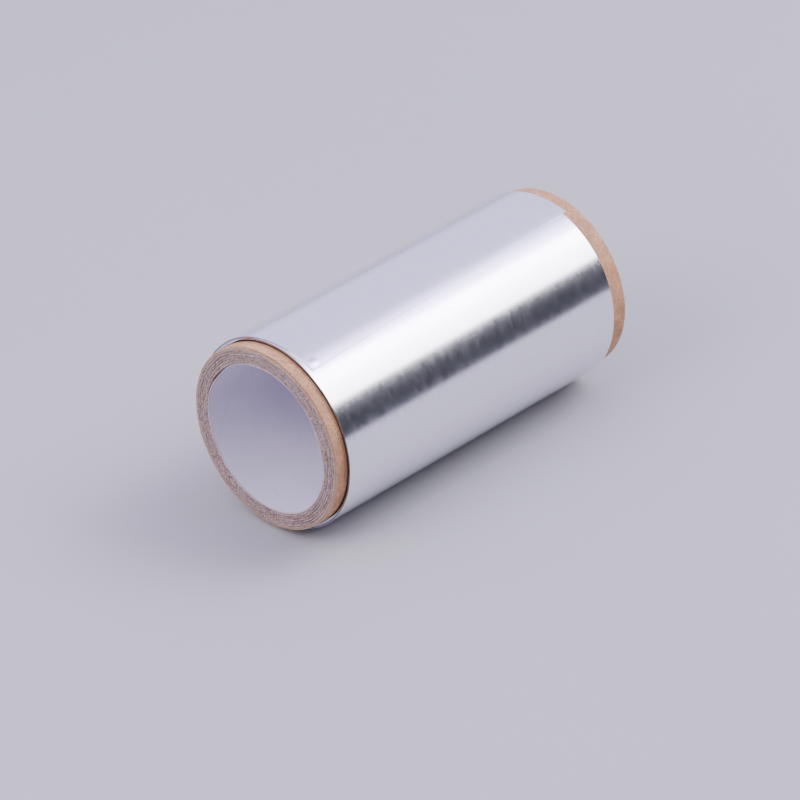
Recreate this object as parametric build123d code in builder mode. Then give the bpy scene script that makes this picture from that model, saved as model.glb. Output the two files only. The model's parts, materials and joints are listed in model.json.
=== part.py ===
"""A roll of metal foil wound on a spiral paper core, lying on its side.

Millimetres, +Z up. The origin is the middle of the core's bore and +X runs along the bore.
Angles round the roll are measured from the top, and grow towards -Y, over the front.
"""

from build123d import *
import math
import os

# Core: a paper tube of glued plies.
core_length = 110.2
core_radius = 25.65
bore_radius = 20.8
liner_thickness = 0.35
wrap_thickness = 0.40
ply_count = 6
glue_line = 0.04

# Foil: one long strip, wound from the core outwards.
foil_width = 100.0
foil_thickness = 0.10
near_margin = 4.1
pack_turns = 7
pack_recess = 0.6
turn_gap = 0.10

# Double-sided strip that holds the foil's first edge to the core.
strip_thickness = 0.08
strip_width = 9.0
strip_length = 94.0
strip_clearance = 0.04

# Free tail: the last stretch of the strip, loose from the hinge line to its cut end.
tail_start = -55.0
tail_fold_1 = -30.0
tail_fold_2 = -5.0
tail_end_far = 17.0
tail_end_near = 27.0
tail_drift = 1.5
fold_gap = 0.3

# Worked out from the sizes above.
near_end = -core_length / 2
liner_radius = bore_radius + liner_thickness
wrap_inner_radius = core_radius - wrap_thickness
ply_thickness = (wrap_inner_radius - liner_radius - glue_line * (ply_count + 1)) / ply_count
strip_radius = core_radius + strip_clearance
pack_inner_radius = strip_radius + strip_thickness + strip_clearance
pack_radius = pack_inner_radius + pack_turns * foil_thickness
foil_near = near_end + near_margin
foil_far = foil_near + foil_width
web_pitch = foil_thickness + turn_gap
web_start_radius = pack_radius + turn_gap / 2
tail_inner_radius = web_start_radius + web_pitch
hinge_radius = tail_inner_radius + foil_thickness / 2
spline_step = 10.0


def on_roll(angle, radius):
    """The (y, z) point at this angle and distance from the roll's axis."""
    turn = math.radians(angle)
    return (-radius * math.sin(turn), radius * math.cos(turn))


def web_radius(angle):
    """Inner radius of the strip's last turn and tail, which climb one pitch a turn."""
    return tail_inner_radius + web_pitch * (angle - tail_start) / 360


def web_points(start, end, offset):
    """Points along the strip's spiral, this far outside its inner face."""
    steps = max(2, round((end - start) / spline_step))
    angles = [start + (end - start) * i / steps for i in range(steps + 1)]
    return [on_roll(angle, web_radius(angle) + offset) for angle in angles]


def web_profile(start, end):
    """Draws the closed section of the strip between two angles."""
    inner = web_points(start, end, 0)
    outer = web_points(start, end, foil_thickness)
    Spline(*inner)
    Line(inner[-1], outer[-1])
    Spline(*outer)
    Line(outer[0], inner[0])


def gap_angle(width):
    """The angle that this width takes up at the hinge radius."""
    return math.degrees(width / hinge_radius)


def finish(part, name):
    """Names a finished piece and writes it to its own file."""
    part.label = name
    export_step(part, f"parts/{name}.step")


os.makedirs("parts", exist_ok=True)

# White paper lining the bore.
with BuildPart() as core_liner:
    with BuildSketch(Plane.YZ.offset(near_end)):
        Circle(liner_radius)
        Circle(bore_radius, mode=Mode.SUBTRACT)
    extrude(amount=core_length)
finish(core_liner.part, "core_liner")

# Chipboard plies, each a glue line outside the last.
for ply in range(ply_count):
    ply_inner = liner_radius + glue_line + ply * (ply_thickness + glue_line)
    with BuildPart() as core_ply:
        with BuildSketch(Plane.YZ.offset(near_end)):
            Circle(ply_inner + ply_thickness)
            Circle(ply_inner, mode=Mode.SUBTRACT)
        extrude(amount=core_length)
    finish(core_ply.part, f"core_ply_{ply + 1}")

# Kraft paper round the outside.
with BuildPart() as core_wrap:
    with BuildSketch(Plane.YZ.offset(near_end)):
        Circle(core_radius)
        Circle(wrap_inner_radius, mode=Mode.SUBTRACT)
    extrude(amount=core_length)
finish(core_wrap.part, "core_wrap")

# Adhesive strip along the core, under the foil's first edge.
strip_half_angle = math.degrees(strip_width / strip_radius) / 2
strip_outer_radius = strip_radius + strip_thickness
with BuildPart() as start_strip:
    with BuildSketch(Plane.YZ.offset(foil_near + (foil_width - strip_length) / 2)):
        with BuildLine():
            ThreePointArc(
                on_roll(-strip_half_angle, strip_radius),
                on_roll(0, strip_radius),
                on_roll(strip_half_angle, strip_radius),
            )
            Line(on_roll(strip_half_angle, strip_radius), on_roll(strip_half_angle, strip_outer_radius))
            ThreePointArc(
                on_roll(strip_half_angle, strip_outer_radius),
                on_roll(0, strip_outer_radius),
                on_roll(-strip_half_angle, strip_outer_radius),
            )
            Line(on_roll(-strip_half_angle, strip_outer_radius), on_roll(-strip_half_angle, strip_radius))
        make_face()
    extrude(amount=strip_length)
finish(start_strip.part, "start_strip")

# Inner turns, pressed tight. The innermost sits furthest in from the near edge.
with BuildPart() as foil_pack:
    for turn in range(pack_turns):
        turn_inner = pack_inner_radius + turn * foil_thickness
        turn_shift = pack_recess * (1 - (turn + 1) / pack_turns)
        with BuildSketch(Plane.YZ.offset(foil_near + turn_shift)):
            Circle(turn_inner + foil_thickness)
            Circle(turn_inner, mode=Mode.SUBTRACT)
        extrude(amount=foil_width)
finish(foil_pack.part, "foil_pack")

# The last whole turn: it starts under the tail and climbs to the hinge line.
with BuildPart() as foil_outer_turn:
    with BuildSketch(Plane.YZ.offset(foil_near)):
        with BuildLine():
            web_profile(tail_start - 360, tail_start - gap_angle(fold_gap / 2))
        make_face()
    extrude(amount=foil_width)
finish(foil_outer_turn.part, "foil_outer_turn")

# The free tail in three stretches, so that it can peel: cut square, but wound a little askew.
half_gap = gap_angle(fold_gap / 2)
tail_reach = tail_end_near + half_gap
tail_stretches = {
    "foil_tail_root": (tail_start + half_gap, tail_fold_1 - half_gap),
    "foil_tail_middle": (tail_fold_1 + half_gap, tail_fold_2 - half_gap),
    "foil_tail_end": (tail_fold_2 + half_gap, tail_reach),
}
tail_outline = [
    (foil_near, on_roll(tail_start, hinge_radius)[0]),
    (foil_near + tail_drift, on_roll(tail_end_near, hinge_radius)[0]),
    (foil_far + tail_drift, on_roll(tail_end_far, hinge_radius)[0]),
    (foil_far, on_roll(tail_start, hinge_radius)[0]),
]
for name, (stretch_start, stretch_end) in tail_stretches.items():
    with BuildPart() as foil_tail:
        with BuildSketch(Plane.YZ.offset(near_end)):
            with BuildLine():
                web_profile(stretch_start, stretch_end)
            make_face()
        extrude(amount=core_length)
        with BuildSketch(Plane.XY):
            with BuildLine():
                Polyline(*tail_outline, close=True)
            make_face()
        extrude(amount=2 * core_radius, mode=Mode.INTERSECT)
    finish(foil_tail.part, name)
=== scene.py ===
import json
import math

import bmesh
import bpy
import numpy as np
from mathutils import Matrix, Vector


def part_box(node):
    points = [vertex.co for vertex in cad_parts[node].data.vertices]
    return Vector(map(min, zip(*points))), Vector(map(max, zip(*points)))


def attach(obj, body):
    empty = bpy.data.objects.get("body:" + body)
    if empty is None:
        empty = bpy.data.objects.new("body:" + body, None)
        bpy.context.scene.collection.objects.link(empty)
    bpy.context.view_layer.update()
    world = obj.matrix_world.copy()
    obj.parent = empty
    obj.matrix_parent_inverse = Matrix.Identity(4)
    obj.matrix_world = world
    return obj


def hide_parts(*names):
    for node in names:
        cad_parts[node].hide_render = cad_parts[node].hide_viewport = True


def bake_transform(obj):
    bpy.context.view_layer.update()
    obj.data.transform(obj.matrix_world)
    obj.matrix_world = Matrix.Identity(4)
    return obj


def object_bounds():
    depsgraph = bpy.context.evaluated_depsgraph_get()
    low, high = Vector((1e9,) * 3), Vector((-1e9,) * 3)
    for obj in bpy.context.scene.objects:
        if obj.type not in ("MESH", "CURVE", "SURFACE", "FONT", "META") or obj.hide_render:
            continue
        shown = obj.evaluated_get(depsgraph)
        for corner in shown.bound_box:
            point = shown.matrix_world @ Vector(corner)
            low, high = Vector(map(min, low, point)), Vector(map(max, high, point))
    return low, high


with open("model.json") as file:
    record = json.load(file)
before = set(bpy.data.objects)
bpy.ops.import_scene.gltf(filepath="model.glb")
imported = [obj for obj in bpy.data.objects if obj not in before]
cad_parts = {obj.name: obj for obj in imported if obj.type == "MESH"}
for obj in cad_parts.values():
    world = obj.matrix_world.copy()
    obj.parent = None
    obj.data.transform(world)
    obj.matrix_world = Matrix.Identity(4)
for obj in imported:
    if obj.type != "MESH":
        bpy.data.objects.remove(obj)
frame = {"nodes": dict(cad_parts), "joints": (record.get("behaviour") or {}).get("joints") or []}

# Sizes are in metres and angles in radians. Angles round the roll start at the top and grow towards -Y.
MM = 0.001
cad_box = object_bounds()
joints = {joint["name"]: joint for joint in frame["joints"]}


def outer_radius(node):
    """The radius of a round CAD node that lies on the roll's axis."""
    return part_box(node)[1].z


def angle_of(point):
    """Where a point lies round the roll."""
    return math.atan2(-point[1], point[2])


def on_roll(angle, radius, x=0.0):
    """The point at this angle and distance from the roll's axis."""
    return Vector((x, -radius * math.sin(angle), radius * math.cos(angle)))


# Core.
CORE_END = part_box("core_wrap")[1].x
CORE_RADIUS = outer_radius("core_wrap")
PLIES = sorted(node for node in frame["nodes"] if node.startswith("core_ply_"))
GLUE_LINE = 0.04 * MM
LINER = 0.35 * MM
BORE_RADIUS = outer_radius("core_liner") - LINER

# Foil.
FOIL = 0.10 * MM
FOIL_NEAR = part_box("foil_outer_turn")[0].x
FOIL_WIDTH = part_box("foil_outer_turn")[1].x - FOIL_NEAR
PACK_RADIUS = outer_radius("foil_pack")
PACK_TURNS = 7
PACK_RECESS = 2.2 * MM
WEB_PITCH = 0.20 * MM
TAIL_START = angle_of(joints["tail_lift"]["pos_m"])
TAIL_RADIUS = Vector(joints["tail_lift"]["pos_m"]).length - FOIL / 2
TAIL_END_NEAR = math.radians(27)
TAIL_END_FAR = math.radians(17)
TAIL_DRIFT = 1.5 * MM


# ---------------------------------------------------------------- camera, floor and light

CAMERA_AZIMUTH = math.radians(-46.1)
CAMERA_ELEVATION = math.radians(33.1)
CAMERA_DISTANCE = 1.4604
CAMERA_AIM = Vector((-0.02704, -0.02119, 0.00849))
CAMERA_LENS = 256.1


def direction(azimuth, elevation):
    """The unit vector from the roll towards a place seen at this azimuth and elevation."""
    return Vector((
        math.sin(azimuth) * math.cos(elevation),
        -math.cos(azimuth) * math.cos(elevation),
        math.sin(elevation),
    ))


def put_camera():
    """A long lens, looking down on the near end and the front of the roll."""
    data = bpy.data.cameras.new("camera")
    data.lens = CAMERA_LENS
    data.clip_start = 0.05
    data.clip_end = 20
    camera = bpy.data.objects.new("camera", data)
    bpy.context.scene.collection.objects.link(camera)
    back = direction(CAMERA_AZIMUTH, CAMERA_ELEVATION)
    camera.location = CAMERA_AIM + back * CAMERA_DISTANCE
    camera.rotation_euler = (-back).to_track_quat("-Z", "Y").to_euler()
    bpy.context.scene.camera = camera


def soft_panel(name, middle, towards, length, width, power, colour):
    """A rectangular soft light with its length along X."""
    data = bpy.data.lights.new(name, "AREA")
    data.shape = "RECTANGLE"
    data.size = length
    data.size_y = width
    data.energy = power
    data.color = colour
    panel = bpy.data.objects.new(name, data)
    bpy.context.scene.collection.objects.link(panel)
    panel.location = middle
    facing = (Vector(towards) - Vector(middle)).normalized()
    panel.rotation_euler = facing.to_track_quat("-Z", "Y").to_euler()
    return panel


def panel_over_front(name, turn, half_width, radiance):
    """A panel that the foil mirrors as one even band: its middle and half width are angles in degrees."""
    distance = 1.1
    turn = math.radians(turn)
    middle = (0.83, -distance * math.sin(turn), distance * math.cos(turn))
    length = 0.80
    width = 2 * distance * math.tan(math.radians(half_width))
    power = radiance * math.pi * length * width
    soft_panel(name, middle, (middle[0], 0, 0), length, width, power, (0.975, 0.965, 1.0))


class Wiring:
    """Adds nodes to one tree, and links or sets whatever each is given."""

    def __init__(self, tree):
        self.tree = tree

    def give(self, socket, value):
        if isinstance(value, bpy.types.NodeSocket):
            self.tree.links.new(value, socket)
        elif value is not None:
            socket.default_value = value

    def add(self, kind, inputs=None, **settings):
        node = self.tree.nodes.new(kind)
        for setting, value in settings.items():
            setattr(node, setting, value)
        for socket, value in (inputs or {}).items():
            self.give(node.inputs[socket], value)
        return node

    def math(self, operation, *values):
        node = self.add("ShaderNodeMath", dict(enumerate(values)), operation=operation)
        return node.outputs[0]

    def vector(self, operation, *values):
        node = self.add("ShaderNodeVectorMath", dict(enumerate(values)), operation=operation)
        return node.outputs["Value" if operation in ("DOT_PRODUCT", "LENGTH") else "Vector"]

    def join(self, x=0.0, y=0.0, z=0.0):
        return self.add("ShaderNodeCombineXYZ", {"X": x, "Y": y, "Z": z}).outputs[0]

    def split(self, vector):
        return self.add("ShaderNodeSeparateXYZ", {"Vector": vector}).outputs

    def noise(self, vector, scale, detail=2.0, roughness=0.5, distortion=0.0):
        inputs = {
            "Vector": vector, "Scale": scale, "Detail": detail,
            "Roughness": roughness, "Distortion": distortion,
        }
        return self.add("ShaderNodeTexNoise", inputs).outputs[0]

    def remap(self, value, low, high, to_low=0.0, to_high=1.0, smooth=True):
        inputs = {"Value": value, "From Min": low, "From Max": high, "To Min": to_low, "To Max": to_high}
        kind = "SMOOTHSTEP" if smooth else "LINEAR"
        return self.add("ShaderNodeMapRange", inputs, interpolation_type=kind).outputs[0]

    def mix(self, share, first, second, blend="MIX"):
        node = self.add("ShaderNodeMix", data_type="RGBA", blend_type=blend)
        self.give(node.inputs["Factor"], share)
        colours = [socket for socket in node.inputs if socket.type == "RGBA"]
        self.give(colours[0], first)
        self.give(colours[1], second)
        return next(socket for socket in node.outputs if socket.type == "RGBA")


def light_studio():
    """A pale floor, a soft bright room behind and above, and one key panel over the front."""
    world = bpy.data.worlds.new("studio")
    bpy.context.scene.world = world
    world.use_nodes = True
    wiring = Wiring(world.node_tree)
    world.node_tree.nodes.clear()
    place = wiring.add("ShaderNodeTexCoord").outputs["Generated"]
    towards_back = wiring.vector("DOT_PRODUCT", place, (0.0, 0.5, 0.866))
    share = wiring.remap(towards_back, 0.02, 0.55)
    colour = wiring.mix(share, (0.050, 0.052, 0.065, 1), (1.30, 1.20, 1.80, 1))
    towards_key = wiring.vector("DOT_PRODUCT", place, (0.604, -0.337, 0.722))
    glow = wiring.math(
        "MULTIPLY", wiring.remap(towards_key, 0.85, 0.985), wiring.remap(towards_back, 0.30, 0.50),
    )
    strength = wiring.math("ADD", 1.0, wiring.math("MULTIPLY", glow, 3.2))
    background = wiring.add("ShaderNodeBackground", {"Color": colour, "Strength": strength})
    output = wiring.add("ShaderNodeOutputWorld")
    wiring.give(output.inputs["Surface"], background.outputs[0])

    panel_over_front("key", 30.5, 20.5, 8.6)
    soft_panel("end_fill", (-0.75, 0.05, 0.62), (-0.05, 0, 0), 0.5, 0.5, 5.6, (0.98, 0.94, 1.0))

    floor_level = cad_box[0].z
    bpy.ops.mesh.primitive_grid_add(x_subdivisions=8, y_subdivisions=8, size=4, location=(0, 0, 0))
    floor = bpy.context.object
    floor.name = "floor"
    floor.data.transform(floor.matrix_world)
    for vertex in floor.data.vertices:
        vertex.co.z = floor_level
    floor.data.materials.append(floor_finish())


# ---------------------------------------------------------------- finishes

def new_finish(name, colour, roughness, metallic=0.0):
    """A material with a plain Principled shader, and the wiring to build on it."""
    material = bpy.data.materials.new(name)
    material.use_nodes = True
    wiring = Wiring(material.node_tree)
    shader = material.node_tree.nodes["Principled BSDF"]
    shader.inputs["Base Color"].default_value = (*colour, 1)
    shader.inputs["Roughness"].default_value = roughness
    shader.inputs["Metallic"].default_value = metallic
    return material, wiring, shader


def floor_finish():
    material, wiring, shader = new_finish("pale_floor", (0.44, 0.44, 0.44), 1.0)
    shader.inputs["Specular IOR Level"].default_value = 0.0
    place = wiring.add("ShaderNodeTexCoord").outputs["Object"]
    cloud = wiring.noise(place, 6.0, 3.0)
    colour = wiring.mix(cloud, (0.425, 0.425, 0.425, 1), (0.45, 0.45, 0.45, 1))
    wiring.give(shader.inputs["Base Color"], colour)
    return material


def shader_group(name, inputs, outputs):
    """An empty shader group with these named sockets."""
    tree = bpy.data.node_groups.new(name, "ShaderNodeTree")
    for label, kind, value in inputs:
        socket = tree.interface.new_socket(label, in_out="INPUT", socket_type=kind)
        if value is not None:
            socket.default_value = value
    for label, kind in outputs:
        tree.interface.new_socket(label, in_out="OUTPUT", socket_type=kind)
    wiring = Wiring(tree)
    given = wiring.add("NodeGroupInput").outputs
    result = wiring.add("NodeGroupOutput").inputs
    return tree, wiring, given, result


def use_group(wiring, tree, inputs):
    """Places a group in a material with its own values."""
    node = wiring.add("ShaderNodeGroup", node_tree=tree)
    for socket, value in inputs.items():
        wiring.give(node.inputs[socket], value)
    return node.outputs


def build_paper_fibres():
    """Short fibres lying every way, some lighter and some darker than the sheet, and their relief."""
    tree, wiring, given, result = shader_group(
        "paper_fibres",
        [("Place", "NodeSocketVector", None), ("Fineness", "NodeSocketFloat", 2500.0),
         ("Stretch", "NodeSocketFloat", 0.12)],
        [("Light", "NodeSocketFloat"), ("Dark", "NodeSocketFloat"), ("Height", "NodeSocketFloat")],
    )
    turns = [(0.0, 0.4, 0.2), (1.1, 0.2, 1.0), (0.3, 1.2, 2.2), (2.0, 0.7, 2.9)]
    fibres = []
    for turn in turns:
        turned = wiring.add("ShaderNodeMapping", {"Vector": given["Place"], "Rotation": turn}).outputs[0]
        stretch = wiring.join(given["Stretch"], 1.0, 1.0)
        stretched = wiring.vector("MULTIPLY", turned, stretch)
        fibres.append(wiring.noise(stretched, given["Fineness"], 1.0, 0.4, 0.6))
    light = wiring.math("MAXIMUM", fibres[0], fibres[1])
    dark = wiring.math("MAXIMUM", fibres[2], fibres[3])
    wiring.give(result["Light"], wiring.remap(light, 0.60, 0.72))
    wiring.give(result["Dark"], wiring.remap(dark, 0.62, 0.76))
    wiring.give(result["Height"], wiring.math("SUBTRACT", light, wiring.math("MULTIPLY", dark, 0.6)))
    return tree


def build_spiral_seam():
    """The line where one edge of a spirally wound paper strip meets the next, by angle and length."""
    tree, wiring, given, result = shader_group(
        "spiral_seam",
        [("Place", "NodeSocketVector", None), ("Pitch", "NodeSocketFloat", 0.1),
         ("Phase", "NodeSocketFloat", 0.0), ("Width", "NodeSocketFloat", 0.0003)],
        [("Line", "NodeSocketFloat")],
    )
    x, y, z = wiring.split(given["Place"])
    angle = wiring.math("ARCTAN2", wiring.math("MULTIPLY", y, -1.0), z)
    turns = wiring.math("DIVIDE", angle, 2 * math.pi)
    along = wiring.math("DIVIDE", x, given["Pitch"])
    lap = wiring.math("FRACT", wiring.math("ADD", wiring.math("SUBTRACT", along, turns), given["Phase"]))
    off_middle = wiring.math("ABSOLUTE", wiring.math("SUBTRACT", lap, 0.5))
    away = wiring.math("MULTIPLY", wiring.math("SUBTRACT", 0.5, off_middle), given["Pitch"])
    wiring.give(result["Line"], wiring.remap(away, 0.0, given["Width"], 1.0, 0.0))
    return tree


def build_sawn_edge():
    """Where the saw has left board dust on the last stretch before each cut end."""
    tree, wiring, given, result = shader_group(
        "sawn_edge",
        [("Place", "NodeSocketVector", None), ("Reach", "NodeSocketFloat", 0.0008)],
        [("Dust", "NodeSocketFloat")],
    )
    x = wiring.split(given["Place"])[0]
    depth = wiring.math("SUBTRACT", CORE_END, wiring.math("ABSOLUTE", x))
    patchy = wiring.math("SUBTRACT", wiring.noise(given["Place"], 1800.0, 3.0, 0.7), 0.5)
    depth = wiring.math("ADD", depth, wiring.math("MULTIPLY", patchy, 0.0012))
    wiring.give(result["Dust"], wiring.remap(depth, 0.0001, given["Reach"], 0.9, 0.0))
    return tree


def build_rolled_lines():
    """Fine lines that a rolling mill leaves along a metal strip, with broader bands among them."""
    tree, wiring, given, result = shader_group(
        "rolled_lines",
        [("Place", "NodeSocketVector", None), ("Line Width", "NodeSocketFloat", 0.00024),
         ("Line Length", "NodeSocketFloat", 0.0030)],
        [("Lines", "NodeSocketFloat"), ("Streaks", "NodeSocketFloat"), ("Cloud", "NodeSocketFloat")],
    )
    along, across, _ = wiring.split(given["Place"])
    fine = wiring.join(
        wiring.math("DIVIDE", along, given["Line Length"]),
        wiring.math("DIVIDE", across, given["Line Width"]),
    )
    wiring.give(result["Lines"], wiring.noise(fine, 1.0, 1.5, 0.5))
    broad = wiring.vector("MULTIPLY", fine, (0.15, 0.10, 1.0))
    wiring.give(result["Streaks"], wiring.noise(broad, 1.0, 3.0, 0.55))
    wiring.give(result["Cloud"], wiring.noise(given["Place"], 90.0, 3.0, 0.6))
    return tree


def build_scratches():
    """A few long thin scratches lying at a slant to the strip."""
    tree, wiring, given, result = shader_group(
        "scratches",
        [("Place", "NodeSocketVector", None), ("Turn", "NodeSocketFloat", 0.5),
         ("Rarity", "NodeSocketFloat", 0.70)],
        [("Scratch", "NodeSocketFloat")],
    )
    turn = wiring.join(0.0, 0.0, given["Turn"])
    turned = wiring.add("ShaderNodeMapping", {"Vector": given["Place"], "Rotation": turn}).outputs[0]
    stretched = wiring.vector("MULTIPLY", turned, (150.0, 5200.0, 0.0))
    thin = wiring.noise(stretched, 1.0, 0.0, 0.4, 0.1)
    patch = wiring.noise(turned, 160.0, 1.0)
    line = wiring.remap(thin, given["Rarity"], wiring.math("ADD", given["Rarity"], 0.05))
    wiring.give(result["Scratch"], wiring.math("MULTIPLY", line, wiring.remap(patch, 0.52, 0.62)))
    return tree


def foil_finish():
    """Bright rolled foil: nearly a mirror round the roll, hazier on the coarser lines."""
    material, wiring, shader = new_finish("foil_finish", (0.86, 0.86, 0.905), 0.17, 1.0)
    place = wiring.add("ShaderNodeAttribute", attribute_name="strip_place").outputs["Vector"]
    lines = use_group(wiring, rolled_lines, {"Place": place})
    scratch = use_group(wiring, scratches, {"Place": place, "Turn": 0.9, "Rarity": 0.77})["Scratch"]
    cross = use_group(wiring, scratches, {"Place": place, "Turn": -0.4, "Rarity": 0.79})["Scratch"]
    marks = wiring.math("MAXIMUM", scratch, cross)

    hazy = wiring.remap(lines["Lines"], 0.38, 0.62, 0.115, 0.180)
    streaky = wiring.math("MULTIPLY", wiring.remap(lines["Streaks"], 0.3, 0.7), 0.03)
    cloudy = wiring.math("MULTIPLY", wiring.remap(lines["Cloud"], 0.35, 0.7), 0.02)
    grain = wiring.math("MULTIPLY", wiring.remap(wiring.noise(place, 3600.0, 1.0), 0.3, 0.7), 0.035)
    cloudy = wiring.math("ADD", cloudy, grain)
    roughness = wiring.math("ADD", hazy, wiring.math("ADD", streaky, cloudy))
    roughness = wiring.math("ADD", roughness, wiring.math("MULTIPLY", marks, 0.03))
    wiring.give(shader.inputs["Roughness"], roughness)

    tone = wiring.mix(lines["Streaks"], (0.855, 0.85, 0.915, 1), (0.905, 0.90, 0.965, 1))
    lined = wiring.remap(lines["Lines"], 0.40, 0.60, 0.0, 0.35)
    tone = wiring.mix(lined, tone, (0.80, 0.795, 0.86, 1))
    wiring.give(shader.inputs["Base Color"], wiring.mix(marks, tone, (0.77, 0.77, 0.82, 1)))

    relief = wiring.math("ADD", wiring.math("MULTIPLY", lines["Lines"], 0.30),
                         wiring.math("MULTIPLY", marks, -0.15))
    bump = wiring.add("ShaderNodeBump", {"Strength": 0.10, "Distance": 0.00001, "Height": relief})
    wiring.give(shader.inputs["Normal"], bump.outputs[0])
    return material


def kraft_finish():
    """Tan kraft paper with darker and lighter fibres and the seam of its spiral, and painted shade where it
    runs in under the foil.
    """
    material, wiring, shader = new_finish("kraft_paper_finish", (0.51, 0.31, 0.19), 0.75)
    place = wiring.add("ShaderNodeTexCoord").outputs["Object"]
    fibres = use_group(wiring, paper_fibres, {"Place": place, "Fineness": 2600.0, "Stretch": 0.14})
    seam = use_group(wiring, spiral_seam, {
        "Place": place, "Pitch": 0.118, "Phase": 0.482, "Width": 0.00028,
    })
    cloud = wiring.noise(place, 220.0, 4.0, 0.6)
    mottle = wiring.noise(place, 1400.0, 3.0, 0.7)
    colour = wiring.mix(wiring.remap(cloud, 0.3, 0.7), (0.48, 0.23, 0.100, 1), (0.66, 0.345, 0.165, 1))
    colour = wiring.mix(wiring.remap(mottle, 0.44, 0.68, 0.0, 0.8), colour, (0.29, 0.165, 0.10, 1))
    colour = wiring.mix(wiring.math("MULTIPLY", fibres["Light"], 0.45), colour, (0.72, 0.48, 0.30, 1))
    colour = wiring.mix(wiring.math("MULTIPLY", fibres["Dark"], 0.55), colour, (0.27, 0.155, 0.095, 1))
    colour = wiring.mix(wiring.math("MULTIPLY", seam["Line"], 0.5), colour, (0.20, 0.13, 0.09, 1))
    x = wiring.split(place)[0]
    # Painted shade: a near-black band from just short of the foil's near edge to halfway across the foil,
    # standing in for the shade in the gap under the foil's edge.
    painted_shade_under_foil = wiring.remap(x, FOIL_NEAR - 0.10 * MM, FOIL_NEAR + 0.25 * MM)
    painted_shade_cutoff = wiring.remap(x, FOIL_NEAR + 0.5 * FOIL_WIDTH, FOIL_NEAR + 0.6 * FOIL_WIDTH, 1.0, 0.0)
    colour = wiring.mix(wiring.math("MULTIPLY", painted_shade_under_foil, painted_shade_cutoff), colour, (0.05, 0.032, 0.024, 1))
    colour = wiring.mix(use_group(wiring, sawn_edge, {"Place": place, "Reach": 0.0007})["Dust"],
                        colour, (0.47, 0.33, 0.25, 1))
    wiring.give(shader.inputs["Base Color"], colour)
    wiring.give(shader.inputs["Roughness"], wiring.remap(mottle, 0.3, 0.7, 0.62, 0.85))
    relief = wiring.math("SUBTRACT", fibres["Height"], wiring.math("MULTIPLY", seam["Line"], 3.0))
    bump = wiring.add("ShaderNodeBump", {"Strength": 0.5, "Distance": 0.00005, "Height": relief})
    wiring.give(shader.inputs["Normal"], bump.outputs[0])
    return material


def chipboard_finish(ply):
    """Grey-brown recycled board, streaked along its ply, with a rare coloured fleck."""
    material, wiring, shader = new_finish(f"chipboard_finish_{ply}", (0.36, 0.29, 0.27), 0.9)
    place = wiring.add("ShaderNodeTexCoord").outputs["Object"]
    x, y, z = wiring.split(place)
    radius = wiring.vector("LENGTH", wiring.join(0.0, y, z))
    angle = wiring.math("ARCTAN2", y, z)
    layered = wiring.join(
        wiring.math("MULTIPLY", radius, 4400.0),
        wiring.math("MULTIPLY", angle, 6.0),
        wiring.math("MULTIPLY", x, 900.0),
    )
    layers = wiring.noise(layered, 1.0, 3.0, 0.65, 0.3)
    fibres = use_group(wiring, paper_fibres, {"Place": place, "Fineness": 3600.0, "Stretch": 0.18})
    cloud = wiring.noise(place, 500.0, 3.0, 0.6)
    tint = 0.5 + 0.5 * math.sin(2.4 * ply)
    light = (0.41 + 0.06 * tint, 0.285 + 0.04 * tint, 0.245 + 0.03 * tint, 1)
    dark = (0.18 - 0.05 * tint, 0.11 - 0.03 * tint, 0.095 - 0.03 * tint, 1)
    colour = wiring.mix(wiring.remap(layers, 0.40, 0.58), dark, light)
    colour = wiring.mix(wiring.remap(cloud, 0.35, 0.7, 0.0, 0.5), colour, (0.33, 0.215, 0.18, 1))
    grain = wiring.noise(place, 2600.0, 2.0, 0.7)
    colour = wiring.mix(wiring.remap(grain, 0.52, 0.62, 0.0, 0.85), colour, (0.095, 0.060, 0.050, 1))
    colour = wiring.mix(wiring.remap(grain, 0.46, 0.36, 0.0, 0.80), colour, (0.66, 0.51, 0.44, 1))
    colour = wiring.mix(wiring.math("MULTIPLY", fibres["Light"], 0.8), colour, (0.66, 0.53, 0.48, 1))
    colour = wiring.mix(wiring.math("MULTIPLY", fibres["Dark"], 0.6), colour, (0.12, 0.08, 0.075, 1))
    fuzzy = wiring.math("SUBTRACT", wiring.noise(place, 900.0, 3.0, 0.6), 0.5)
    fuzzy = wiring.math("MULTIPLY", fuzzy, 0.0022)
    tan = wiring.remap(wiring.math("ADD", radius, fuzzy), CORE_RADIUS - 1.2 * MM, CORE_RADIUS - 0.7 * MM)
    colour = wiring.mix(wiring.math("MULTIPLY", tan, 0.8), colour, (0.46, 0.30, 0.20, 1))
    fleck = wiring.noise(place, 1500.0 + 40.0 * ply, 0.0)
    colour = wiring.mix(wiring.remap(fleck, 0.815, 0.83), colour, (0.55, 0.05, 0.05, 1))
    wiring.give(shader.inputs["Base Color"], colour)
    relief = wiring.math("ADD", layers, fibres["Height"])
    bump = wiring.add("ShaderNodeBump", {"Strength": 0.9, "Distance": 0.00008, "Height": relief})
    wiring.give(shader.inputs["Normal"], bump.outputs[0])
    return material


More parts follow.
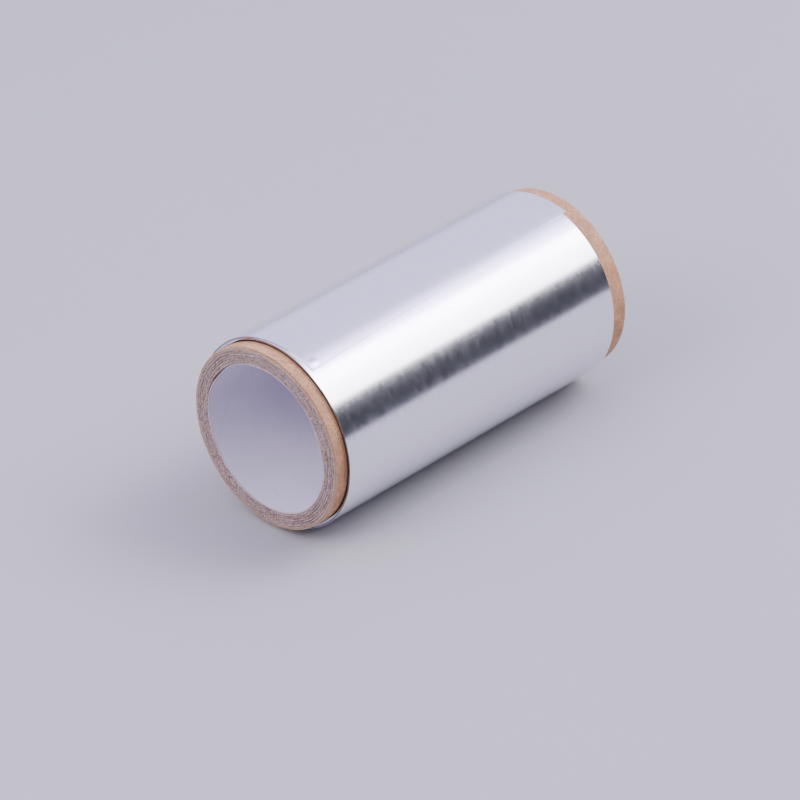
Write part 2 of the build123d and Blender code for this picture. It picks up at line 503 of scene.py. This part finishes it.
def liner_finish():
    """Smooth white paper with a faint seam."""
    material, wiring, shader = new_finish("white_paper_finish", (0.80, 0.78, 0.84), 0.55)
    place = wiring.add("ShaderNodeTexCoord").outputs["Object"]
    fibres = use_group(wiring, paper_fibres, {"Place": place, "Fineness": 2200.0, "Stretch": 0.10})
    seam = use_group(wiring, spiral_seam, {"Place": place, "Pitch": 0.093, "Phase": 0.25, "Width": 0.00022})
    cloud = wiring.noise(place, 120.0, 4.0, 0.55)
    colour = wiring.mix(cloud, (0.69, 0.645, 0.75, 1), (0.78, 0.745, 0.84, 1))
    colour = wiring.mix(wiring.math("MULTIPLY", fibres["Dark"], 0.18), colour, (0.60, 0.57, 0.62, 1))
    colour = wiring.mix(wiring.math("MULTIPLY", seam["Line"], 0.28), colour, (0.42, 0.40, 0.44, 1))
    fleck = wiring.noise(place, 900.0, 0.0)
    colour = wiring.mix(wiring.remap(fleck, 0.78, 0.84, 0.0, 0.35), colour, (0.45, 0.38, 0.36, 1))
    dust = use_group(wiring, sawn_edge, {"Place": place, "Reach": 0.0009})["Dust"]
    colour = wiring.mix(dust, colour, (0.50, 0.385, 0.35, 1))
    wiring.give(shader.inputs["Base Color"], colour)
    relief = wiring.math("SUBTRACT", fibres["Height"], wiring.math("MULTIPLY", seam["Line"], 2.0))
    bump = wiring.add("ShaderNodeBump", {"Strength": 0.35, "Distance": 0.00003, "Height": relief})
    wiring.give(shader.inputs["Normal"], bump.outputs[0])
    return material


def strip_finish():
    """Clear double-sided strip, slightly cloudy."""
    material, wiring, shader = new_finish("adhesive_strip_finish", (0.80, 0.78, 0.70), 0.25)
    place = wiring.add("ShaderNodeTexCoord").outputs["Object"]
    cloud = wiring.noise(place, 300.0, 4.0)
    wiring.give(shader.inputs["Base Color"],
                wiring.mix(cloud, (0.74, 0.71, 0.62, 1), (0.86, 0.84, 0.77, 1)))
    wiring.give(shader.inputs["Roughness"], wiring.remap(cloud, 0.3, 0.7, 0.18, 0.4))
    return material


def fibre_finish():
    """Pale loose paper fibres."""
    material, wiring, shader = new_finish("loose_fibre_finish", (0.62, 0.55, 0.50), 0.8)
    place = wiring.add("ShaderNodeTexCoord").outputs["Object"]
    tone = wiring.noise(place, 800.0, 1.0)
    wiring.give(shader.inputs["Base Color"],
                wiring.mix(wiring.remap(tone, 0.35, 0.65), (0.38, 0.31, 0.28, 1), (0.80, 0.74, 0.70, 1)))
    return material


# ---------------------------------------------------------------- shapes grown by Geometry Nodes

def geometry_tree(name, inputs):
    """An empty Geometry Nodes tree with these named inputs and one geometry output."""
    tree = bpy.data.node_groups.new(name, "GeometryNodeTree")
    tree.is_modifier = True
    for label, kind, value in inputs:
        socket = tree.interface.new_socket(label, in_out="INPUT", socket_type=kind)
        if value is not None:
            socket.default_value = value
    tree.interface.new_socket("Geometry", in_out="OUTPUT", socket_type="NodeSocketGeometry")
    wiring = Wiring(tree)
    given = wiring.add("NodeGroupInput").outputs
    result = wiring.add("NodeGroupOutput").inputs
    return tree, wiring, given, result


def grow(name, tree, values, mesh=None, thickness=None):
    """Runs a tree with these values on a mesh, thickens the result if asked, and returns a plain object."""
    carrier = bpy.data.objects.new(name + "_carrier", mesh or bpy.data.meshes.new(name + "_empty"))
    bpy.context.scene.collection.objects.link(carrier)
    modifier = carrier.modifiers.new("grow", "NODES")
    modifier.node_group = tree
    sockets = {item.name: item.identifier for item in tree.interface.items_tree if item.in_out == "INPUT"}
    for label, value in values.items():
        modifier[sockets[label]] = value
    if thickness:
        wall = carrier.modifiers.new("wall", "SOLIDIFY")
        wall.thickness = thickness
        wall.offset = 1
    evaluated = carrier.evaluated_get(bpy.context.evaluated_depsgraph_get())
    grown = bpy.data.meshes.new_from_object(evaluated)
    grown.name = name
    carrier.modifiers.clear()
    bpy.data.objects.remove(carrier)
    piece = bpy.data.objects.new(name, grown)
    bpy.context.scene.collection.objects.link(piece)
    return piece


def build_wound_foil():
    """A stretch of strip wound round the X axis, as its inner face: it climbs, drifts, waves and lifts."""
    tree, wiring, given, result = geometry_tree("wound_foil", [
        ("Angle Steps", "NodeSocketInt", 100),
        ("Width Steps", "NodeSocketInt", 50),
        ("Start Angle", "NodeSocketFloat", 0.0),
        ("End Angle Near", "NodeSocketFloat", 1.0),
        ("End Angle Far", "NodeSocketFloat", 1.0),
        ("Inner Radius", "NodeSocketFloat", 0.026),
        ("Climb per Radian", "NodeSocketFloat", 0.0),
        ("Near Edge", "NodeSocketFloat", -0.05),
        ("Width", "NodeSocketFloat", 0.1),
        ("Recess", "NodeSocketFloat", 0.0),
        ("Edge Wander", "NodeSocketFloat", 0.0),
        ("Drift", "NodeSocketFloat", 0.0),
        ("Drift Start", "NodeSocketFloat", 0.0),
        ("Drift Span", "NodeSocketFloat", 1.0),
        ("Lift Near", "NodeSocketFloat", 0.0),
        ("Lift Far", "NodeSocketFloat", 0.0),
        ("Lift Start", "NodeSocketFloat", 0.0),
        ("Lift Span", "NodeSocketFloat", 1.0),
        ("Wave", "NodeSocketFloat", 0.0),
        ("Dent Arc", "NodeSocketFloat", 0.0),
        ("Dent X", "NodeSocketFloat", 0.0),
        ("Dent Size", "NodeSocketFloat", 0.001),
        ("Dent Height", "NodeSocketFloat", 0.0),
        ("Foil", "NodeSocketMaterial", None),
    ])
    math_of = wiring.math
    grid = wiring.add("GeometryNodeMeshGrid", {
        "Size X": 1.0, "Size Y": 1.0,
        "Vertices X": given["Angle Steps"], "Vertices Y": given["Width Steps"],
    }).outputs["Mesh"]
    flat_x, flat_y, _ = wiring.split(wiring.add("GeometryNodeInputPosition").outputs[0])
    along = math_of("ADD", flat_x, 0.5)
    across = math_of("ADD", flat_y, 0.5)

    end = wiring.remap(across, 0.0, 1.0, given["End Angle Near"], given["End Angle Far"], smooth=False)
    angle = wiring.remap(along, 0.0, 1.0, given["Start Angle"], end, smooth=False)
    turned = math_of("SUBTRACT", angle, given["Start Angle"])
    sine = math_of("SINE", angle)
    cosine = math_of("COSINE", angle)

    drifted = math_of("DIVIDE", math_of("SUBTRACT", angle, given["Drift Start"]), given["Drift Span"])
    drifted = math_of("MAXIMUM", drifted, 0.0)
    drift = math_of("MULTIPLY", given["Drift"], math_of("MULTIPLY", drifted, drifted))
    recess = math_of("POWER", math_of("SUBTRACT", 1.0, along), 3.0)
    recess = math_of("MULTIPLY", given["Recess"], recess)
    recess = math_of("MULTIPLY", recess, wiring.remap(across, 0.0, 1.0, 1.0, 0.12, smooth=False))
    round_place = wiring.join(math_of("MULTIPLY", turned, 0.35), sine, cosine)
    wander = math_of("SUBTRACT", wiring.noise(round_place, 1.3, 3.0), 0.5)
    middle_only = math_of("MULTIPLY", math_of("MULTIPLY", along, math_of("SUBTRACT", 1.0, along)), 4.0)
    wander = math_of("MULTIPLY", wander, math_of("MULTIPLY", given["Edge Wander"], middle_only))
    x = math_of("ADD", given["Near Edge"], math_of("MULTIPLY", across, given["Width"]))
    for shift in (drift, recess, wander):
        x = math_of("ADD", x, shift)

    lift_share = math_of("DIVIDE", math_of("SUBTRACT", angle, given["Lift Start"]), given["Lift Span"])
    lift_share = math_of("MAXIMUM", lift_share, 0.0)
    lift_share = math_of("POWER", lift_share, 3.0)
    lift = wiring.remap(across, 0.0, 1.0, given["Lift Near"], given["Lift Far"])
    lift = math_of("MULTIPLY", lift, lift_share)
    wave_place = wiring.join(math_of("MULTIPLY", x, 38.0), sine, cosine)
    wave = math_of("SUBTRACT", wiring.noise(wave_place, 1.6, 2.0, 0.35), 0.5)
    wave = math_of("MULTIPLY", wave, given["Wave"])
    radius = math_of("ADD", given["Inner Radius"], math_of("MULTIPLY", turned, given["Climb per Radian"]))
    arc = math_of("MULTIPLY", angle, given["Inner Radius"])
    from_dent = wiring.join(
        math_of("SUBTRACT", arc, given["Dent Arc"]), math_of("SUBTRACT", x, given["Dent X"]),
    )
    from_dent = math_of("DIVIDE", wiring.vector("LENGTH", from_dent), given["Dent Size"])
    dent = wiring.remap(from_dent, 0.0, 1.0, given["Dent Height"], 0.0)
    for change in (lift, wave, dent):
        radius = math_of("ADD", radius, change)

    strip_place = wiring.join(arc, math_of("MULTIPLY", across, given["Width"]))
    stored = wiring.add("GeometryNodeStoreNamedAttribute", {
        "Geometry": grid, "Name": "strip_place", "Value": strip_place,
    }, data_type="FLOAT_VECTOR", domain="POINT").outputs[0]
    place = wiring.join(x, math_of("MULTIPLY", math_of("MULTIPLY", radius, sine), -1.0),
                        math_of("MULTIPLY", radius, cosine))
    shaped = wiring.add("GeometryNodeSetPosition", {"Geometry": stored, "Position": place}).outputs[0]
    smooth = wiring.add("GeometryNodeSetShadeSmooth", {"Geometry": shaped}).outputs[0]
    whole = wiring.add("GeometryNodeRealizeInstances", {"Geometry": smooth}).outputs[0]
    finished = wiring.add("GeometryNodeSetMaterial", {"Geometry": whole, "Material": given["Foil"]})
    wiring.give(result["Geometry"], finished.outputs[0])
    return tree


def build_loose_fibres():
    """Short bent fibres scattered over a cut face, lying nearly flat on it."""
    tree, wiring, given, result = geometry_tree("loose_fibres", [
        ("Cut Face", "NodeSocketGeometry", None),
        ("Fibres per Square Metre", "NodeSocketFloat", 1e6),
        ("Fibre Length", "NodeSocketFloat", 0.001),
        ("Fibre Radius", "NodeSocketFloat", 0.000014),
        ("Bend", "NodeSocketFloat", 0.0003),
        ("Tilt", "NodeSocketFloat", 0.35),
        ("Seed", "NodeSocketInt", 1),
        ("Fibre", "NodeSocketMaterial", None),
    ])
    scattered = wiring.add("GeometryNodeDistributePointsOnFaces", {
        "Mesh": given["Cut Face"], "Density": given["Fibres per Square Metre"], "Seed": given["Seed"],
    })
    half = wiring.math("MULTIPLY", given["Fibre Length"], 0.5)
    line = wiring.add("GeometryNodeCurveQuadraticBezier", {
        "Resolution": 5,
        "Start": wiring.join(wiring.math("MULTIPLY", half, -1.0)),
        "Middle": wiring.join(0.0, given["Bend"], wiring.math("MULTIPLY", given["Bend"], 0.5)),
        "End": wiring.join(half),
    }).outputs[0]
    section = wiring.add("GeometryNodeCurvePrimitiveCircle", {
        "Resolution": 3, "Radius": given["Fibre Radius"],
    }).outputs[0]
    fibre = wiring.add("GeometryNodeCurveToMesh", {
        "Curve": line, "Profile Curve": section, "Fill Caps": True,
    }).outputs[0]
    size = wiring.add("FunctionNodeRandomValue", {2: 0.35, 3: 1.3, "Seed": given["Seed"]},
                      data_type="FLOAT").outputs[1]
    placed = wiring.add("GeometryNodeInstanceOnPoints", {
        "Points": scattered.outputs["Points"], "Instance": fibre,
        "Rotation": scattered.outputs["Rotation"], "Scale": size,
    }).outputs[0]
    lean = given["Tilt"]
    back = wiring.math("MULTIPLY", lean, -1.0)
    spin = wiring.add("FunctionNodeRandomValue", {
        0: wiring.join(back, back, -math.pi), 1: wiring.join(lean, lean, math.pi),
        "Seed": wiring.math("ADD", given["Seed"], 7.0),
    }, data_type="FLOAT_VECTOR").outputs[0]
    turned = wiring.add("GeometryNodeRotateInstances", {"Instances": placed, "Rotation": spin}).outputs[0]
    whole = wiring.add("GeometryNodeRealizeInstances", {"Geometry": turned}).outputs[0]
    finished = wiring.add("GeometryNodeSetMaterial", {"Geometry": whole, "Material": given["Fibre"]})
    wiring.give(result["Geometry"], finished.outputs[0])
    return tree


# ---------------------------------------------------------------- paper core

AROUND = 720
WALL_DEPTHS = (0.0, 0.6, 1.3, 2.5, 4.5, 8.0, 16.0, 30.0)
FACE_STEPS = (0.0, 0.1, 0.28, 0.5, 0.72, 0.9, 1.0)
GROOVES = (0.10, 0.05, 0.22, 0.06, 0.30, 0.12, 0.04)
ANGLES = np.arange(AROUND) * 2 * math.pi / AROUND
WORN_MIDDLE = 20
WORN_SPREAD = 52


def ripple(angles, rng, lowest, highest):
    """A smooth random wave round the roll, about -1 to 1, made of whole-number harmonics."""
    wave = np.zeros_like(angles)
    for harmonic in range(lowest, highest + 1):
        wave += rng.normal() * np.cos(harmonic * angles + rng.uniform(0, 2 * math.pi)) / harmonic ** 0.5
    return wave / np.abs(wave).max()


def hollow(angles, middle, spread):
    """A bell-shaped bump round the roll, 1 at its middle."""
    away = np.angle(np.exp(1j * (angles - math.radians(middle))))
    return np.exp(-(away / math.radians(spread)) ** 2)


class Meeting:
    """The place where two plies meet: how it wanders and how deep the saw has opened it, at each end."""

    def __init__(self, seed, wander, groove):
        rng = np.random.default_rng(seed)
        self.wander = {end: wander * ripple(ANGLES, rng, 2, 14) for end in (-1, 1)}
        self.groove = {end: groove * (0.6 + 0.4 * ripple(ANGLES, rng, 2, 30)) for end in (-1, 1)}


def ply_path():
    """Points round a ply's section, near face then outer wall, far face and inner wall.

    Each is (across, end, depth, on_face): 0 to 1 from the inner to the outer wall, the end it belongs
    to, how deep it lies behind that end's cut face, and whether it is part of that face.
    """
    depths = [depth * MM for depth in WALL_DEPTHS[1:]]
    path = [(across, -1, 0.0, True) for across in FACE_STEPS]
    path += [(1.0, -1, depth, False) for depth in depths]
    path += [(1.0, 1, depth, False) for depth in reversed(depths)]
    path += [(across, 1, 0.0, True) for across in reversed(FACE_STEPS)]
    path += [(0.0, 1, depth, False) for depth in depths]
    path += [(0.0, -1, depth, False) for depth in reversed(depths)]
    return path


def paper_ply(name, inner, outer, finish, seed, sides, torn, inset=0.13, worn=(0, 0), dents=(), notches=()):
    """One ply of the tube between its two meetings, its cut ends torn, fluffy and a little out of true.

    torn, inset and worn are in millimetres, and worn is how far the rim's rounded corner has gone back
    at the inner and the outer wall. dents pull the near edge towards the axis, notches cut its
    near face back; both are (middle angle in degrees, spread in degrees, size).
    """
    rng = np.random.default_rng(seed)
    inside, outside = sides
    tears = {end: torn * MM * ripple(ANGLES, rng, 16, 110) for end in (-1, 1)}
    insets = {end: inset * MM * (1 + 0.4 * ripple(ANGLES, rng, 2, 12)) for end in (-1, 1)}
    rows = []
    for across, end, depth, on_face in ply_path():
        fade = math.exp(-depth / (2.5 * MM))
        wander = inside.wander[end] * (1 - across) + outside.wander[end] * across
        radii = inner + (outer - inner) * across + wander * fade
        backs = np.full(AROUND, depth)
        if on_face:
            opened = inside.groove[end] * (1 - across) ** 4 + outside.groove[end] * across ** 4
            fluff = 0.3 * torn * MM * np.abs(rng.normal(size=AROUND))
            backs = np.maximum(insets[end] + tears[end] * (0.5 + across) + fluff, 0) + opened
            radii = radii + (0.5 - across) * 0.10 * MM * abs(2 * across - 1) ** 3
            rounding = worn[0] * (1 - across) + worn[1] * across
            backs = backs + rounding * MM * (0.15 + 0.85 * hollow(ANGLES, WORN_MIDDLE, WORN_SPREAD))
        if end < 0:
            for middle, spread, size in dents:
                radii = radii - size * hollow(ANGLES, middle, spread) * fade
            if on_face:
                for middle, spread, size in notches:
                    backs = backs + size * np.clip(2 * hollow(ANGLES, middle, spread) - 0.6, 0, 1)
        xs = end * (CORE_END - backs)
        rows.append(np.stack([xs, -radii * np.sin(ANGLES), radii * np.cos(ANGLES)], axis=1))
    points = np.stack(rows, axis=1)
    count = points.shape[1]
    faces = []
    for around in range(AROUND):
        after = (around + 1) % AROUND
        for step in range(count):
            following = (step + 1) % count
            faces.append((
                around * count + step, around * count + following,
                after * count + following, after * count + step,
            ))
    mesh = bpy.data.meshes.new(name)
    mesh.from_pydata(points.reshape(-1, 3).tolist(), [], faces)
    close_and_smooth(mesh, 40)
    mesh.materials.append(finish)
    piece = bpy.data.objects.new(name, mesh)
    bpy.context.scene.collection.objects.link(piece)
    return piece


def close_and_smooth(mesh, sharp_angle):
    """Turns every face outwards, and shades smoothly except over sharp edges."""
    made = bmesh.new()
    made.from_mesh(mesh)
    bmesh.ops.recalc_face_normals(made, faces=made.faces)
    made.to_mesh(mesh)
    made.free()
    mesh.polygons.foreach_set("use_smooth", [True] * len(mesh.polygons))
    mesh.set_sharp_from_angle(angle=math.radians(sharp_angle))
    mesh.update()


def make_core():
    """Liner, chipboard plies and kraft wrap, each in place of its own CAD node."""
    meetings = [Meeting(60 + number, 0.13 * MM, groove * MM) for number, groove in enumerate(GROOVES)]
    bore_wall = Meeting(50, 0.02 * MM, 0.10 * MM)
    outer_wall = Meeting(51, 0.0, 0.14 * MM)
    liner = paper_ply("liner_paper", BORE_RADIUS, BORE_RADIUS + LINER, liner_finish(), 11,
                      (bore_wall, meetings[0]), torn=0.04, inset=0.18,
                      dents=[(-56, 13, 0.46 * MM), (67, 13, 0.50 * MM)])
    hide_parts("core_liner")
    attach(liner, "root")
    inner = outer_radius("core_liner") + GLUE_LINE
    for number, node in enumerate(PLIES):
        outer = outer_radius(node)
        sides = (meetings[number], meetings[number + 1])
        ply = paper_ply(f"chipboard_ply_{number + 1}", inner, outer, chipboard_finish(number + 1),
                        20 + number, sides, torn=0.06, worn=(0, 0.4 if node == PLIES[-1] else 0))
        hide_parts(node)
        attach(ply, "root")
        inner = outer + GLUE_LINE
    wrap = paper_ply("kraft_wrap", inner, CORE_RADIUS, kraft_finish(), 41,
                     (meetings[-1], outer_wall), torn=0.09, worn=(0.4, 1.0),
                     notches=[(5, 3.0, 0.5 * MM), (-9, 7.0, 0.25 * MM)])
    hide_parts("core_wrap")
    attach(wrap, "root")


def cut_face_mesh(radius_from, radius_to, back, steps=180):
    """Flat rings over both ends of the core, this far behind the cut, for fibres to grow on."""
    points = []
    faces = []
    for end in (-1, 1):
        first = len(points)
        for step in range(steps):
            angle = 2 * math.pi * step / steps
            for radius in (radius_from, radius_to):
                points.append(on_roll(angle, radius, end * (CORE_END - back)))
        for step in range(steps):
            here = first + 2 * step
            there = first + 2 * ((step + 1) % steps)
            corners = (here, here + 1, there + 1, there)
            faces.append(corners if end < 0 else corners[::-1])
    mesh = bpy.data.meshes.new("cut_faces")
    mesh.from_pydata(points, [], faces)
    return mesh


def make_fibres():
    """Fluff on the sawn ends of the core."""
    fibre = fibre_finish()
    fluff = grow("end_fluff", loose_fibres, {
        "Fibres per Square Metre": 2.4e6, "Fibre Length": 0.8 * MM, "Fibre Radius": 0.024 * MM,
        "Bend": 0.22 * MM, "Tilt": 0.22, "Seed": 5, "Fibre": fibre,
    }, mesh=cut_face_mesh(BORE_RADIUS + LINER, CORE_RADIUS - 0.3 * MM, 0.14 * MM))
    hairs = grow("rim_hairs", loose_fibres, {
        "Fibres per Square Metre": 1.6e6, "Fibre Length": 1.4 * MM, "Fibre Radius": 0.022 * MM,
        "Bend": 0.4 * MM, "Tilt": 0.22, "Seed": 9, "Fibre": fibre,
    }, mesh=cut_face_mesh(CORE_RADIUS - 0.5 * MM, CORE_RADIUS, 0.22 * MM))
    for piece in (fluff, hairs):
        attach(piece, "root")


# ---------------------------------------------------------------- foil

WAVE = 0.05 * MM
FINE_STEP = math.radians(0.25)
LIFT_START = math.radians(2)
LIFT_SPAN = TAIL_END_NEAR - LIFT_START
LIFT_NEAR = 0.10 * MM
LIFT_FAR = 0.03 * MM
DENT_ANGLE = math.radians(23)
DENT_FROM_EDGE = 3.4 * MM
DENT_SIZE = 1.7 * MM
DENT_HEIGHT = 0.12 * MM
PACK_STEPS_PER_TURN = 240
COARSE_WIDTH_STEPS = 50
FINE_WIDTH_STEPS = 150


def foil_piece(name, finish, thickness=FOIL, **values):
    """A stretch of wound foil as a closed sheet."""
    labels = {label.replace("_", " "): value for label, value in values.items()}
    piece = grow(name, wound_foil, {"Foil": finish, "Wave": WAVE, **labels}, thickness=thickness)
    piece.data.set_sharp_from_angle(angle=math.radians(40))
    return piece


def make_wound_foil(finish):
    """The inner turns and the last whole turn, which stay on the core."""
    whole_turn = 2 * math.pi
    pack = foil_piece(
        "pack_foil", finish, thickness=FOIL * 0.85,
        Angle_Steps=PACK_TURNS * PACK_STEPS_PER_TURN, Width_Steps=9,
        Start_Angle=TAIL_START - (PACK_TURNS + 1) * whole_turn,
        End_Angle_Near=TAIL_START - whole_turn, End_Angle_Far=TAIL_START - whole_turn,
        Inner_Radius=PACK_RADIUS - (PACK_TURNS + 1) * FOIL, Climb_per_Radian=FOIL / whole_turn,
        Near_Edge=FOIL_NEAR, Width=FOIL_WIDTH, Recess=PACK_RECESS, Edge_Wander=0.5 * MM,
    )
    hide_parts("foil_pack")
    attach(pack, "root")
    turn = foil_piece(
        "outer_turn_foil", finish,
        Angle_Steps=2 * PACK_STEPS_PER_TURN, Width_Steps=COARSE_WIDTH_STEPS,
        Start_Angle=TAIL_START - whole_turn, End_Angle_Near=TAIL_START, End_Angle_Far=TAIL_START,
        Inner_Radius=TAIL_RADIUS - WEB_PITCH, Climb_per_Radian=WEB_PITCH / whole_turn,
        Near_Edge=FOIL_NEAR, Width=FOIL_WIDTH, Edge_Wander=0.7 * MM,
    )
    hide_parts("foil_outer_turn")
    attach(turn, "root")


def make_tail(finish):
    """The loose end, in three stretches that continue one spiral, each in place of its own CAD node."""
    climb = WEB_PITCH / (2 * math.pi)
    chain = [
        ("foil_tail_root", "root", "tail_root", "tail_lift", "tail_bend_middle"),
        ("foil_tail_middle", "tail_root", "tail_middle", "tail_bend_middle", "tail_bend_end"),
        ("foil_tail_end", "tail_middle", "tail_end", "tail_bend_end", None),
    ]
    for node, before, body, joint, next_joint in chain:
        start = angle_of(joints[joint]["pos_m"])
        ends = (TAIL_END_NEAR, TAIL_END_FAR)
        bent_by = TAIL_END_FAR
        if next_joint:
            bent_by = angle_of(joints[next_joint]["pos_m"])
            ends = (bent_by, bent_by)
        radius = TAIL_RADIUS + climb * (start - TAIL_START)
        piece = foil_piece(
            node.replace("foil_tail", "tail_foil"), finish,
            Angle_Steps=round((ends[0] - start) / FINE_STEP) + 1,
            Width_Steps=COARSE_WIDTH_STEPS if next_joint else FINE_WIDTH_STEPS,
            Start_Angle=start, End_Angle_Near=ends[0], End_Angle_Far=ends[1],
            Inner_Radius=radius, Climb_per_Radian=climb,
            Near_Edge=FOIL_NEAR, Width=FOIL_WIDTH,
            Drift=TAIL_DRIFT, Drift_Start=TAIL_START, Drift_Span=TAIL_END_NEAR - TAIL_START,
            Lift_Near=LIFT_NEAR, Lift_Far=LIFT_FAR, Lift_Start=LIFT_START, Lift_Span=LIFT_SPAN,
            Dent_Arc=radius * DENT_ANGLE, Dent_X=FOIL_NEAR + DENT_FROM_EDGE,
            Dent_Size=DENT_SIZE, Dent_Height=DENT_HEIGHT,
        )
        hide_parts(node)
        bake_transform(piece)


def finish_start_strip():
    """The hidden adhesive strip keeps its CAD shape."""
    finish = strip_finish()
    for slot in frame["nodes"]["start_strip"].material_slots:
        slot.material = finish


# ---------------------------------------------------------------- the whole roll

put_camera()
light_studio()

paper_fibres = build_paper_fibres()
spiral_seam = build_spiral_seam()
sawn_edge = build_sawn_edge()
rolled_lines = build_rolled_lines()
scratches = build_scratches()
wound_foil = build_wound_foil()
loose_fibres = build_loose_fibres()

make_core()
make_fibres()
foil = foil_finish()
make_wound_foil(foil)
make_tail(foil)
finish_start_strip()
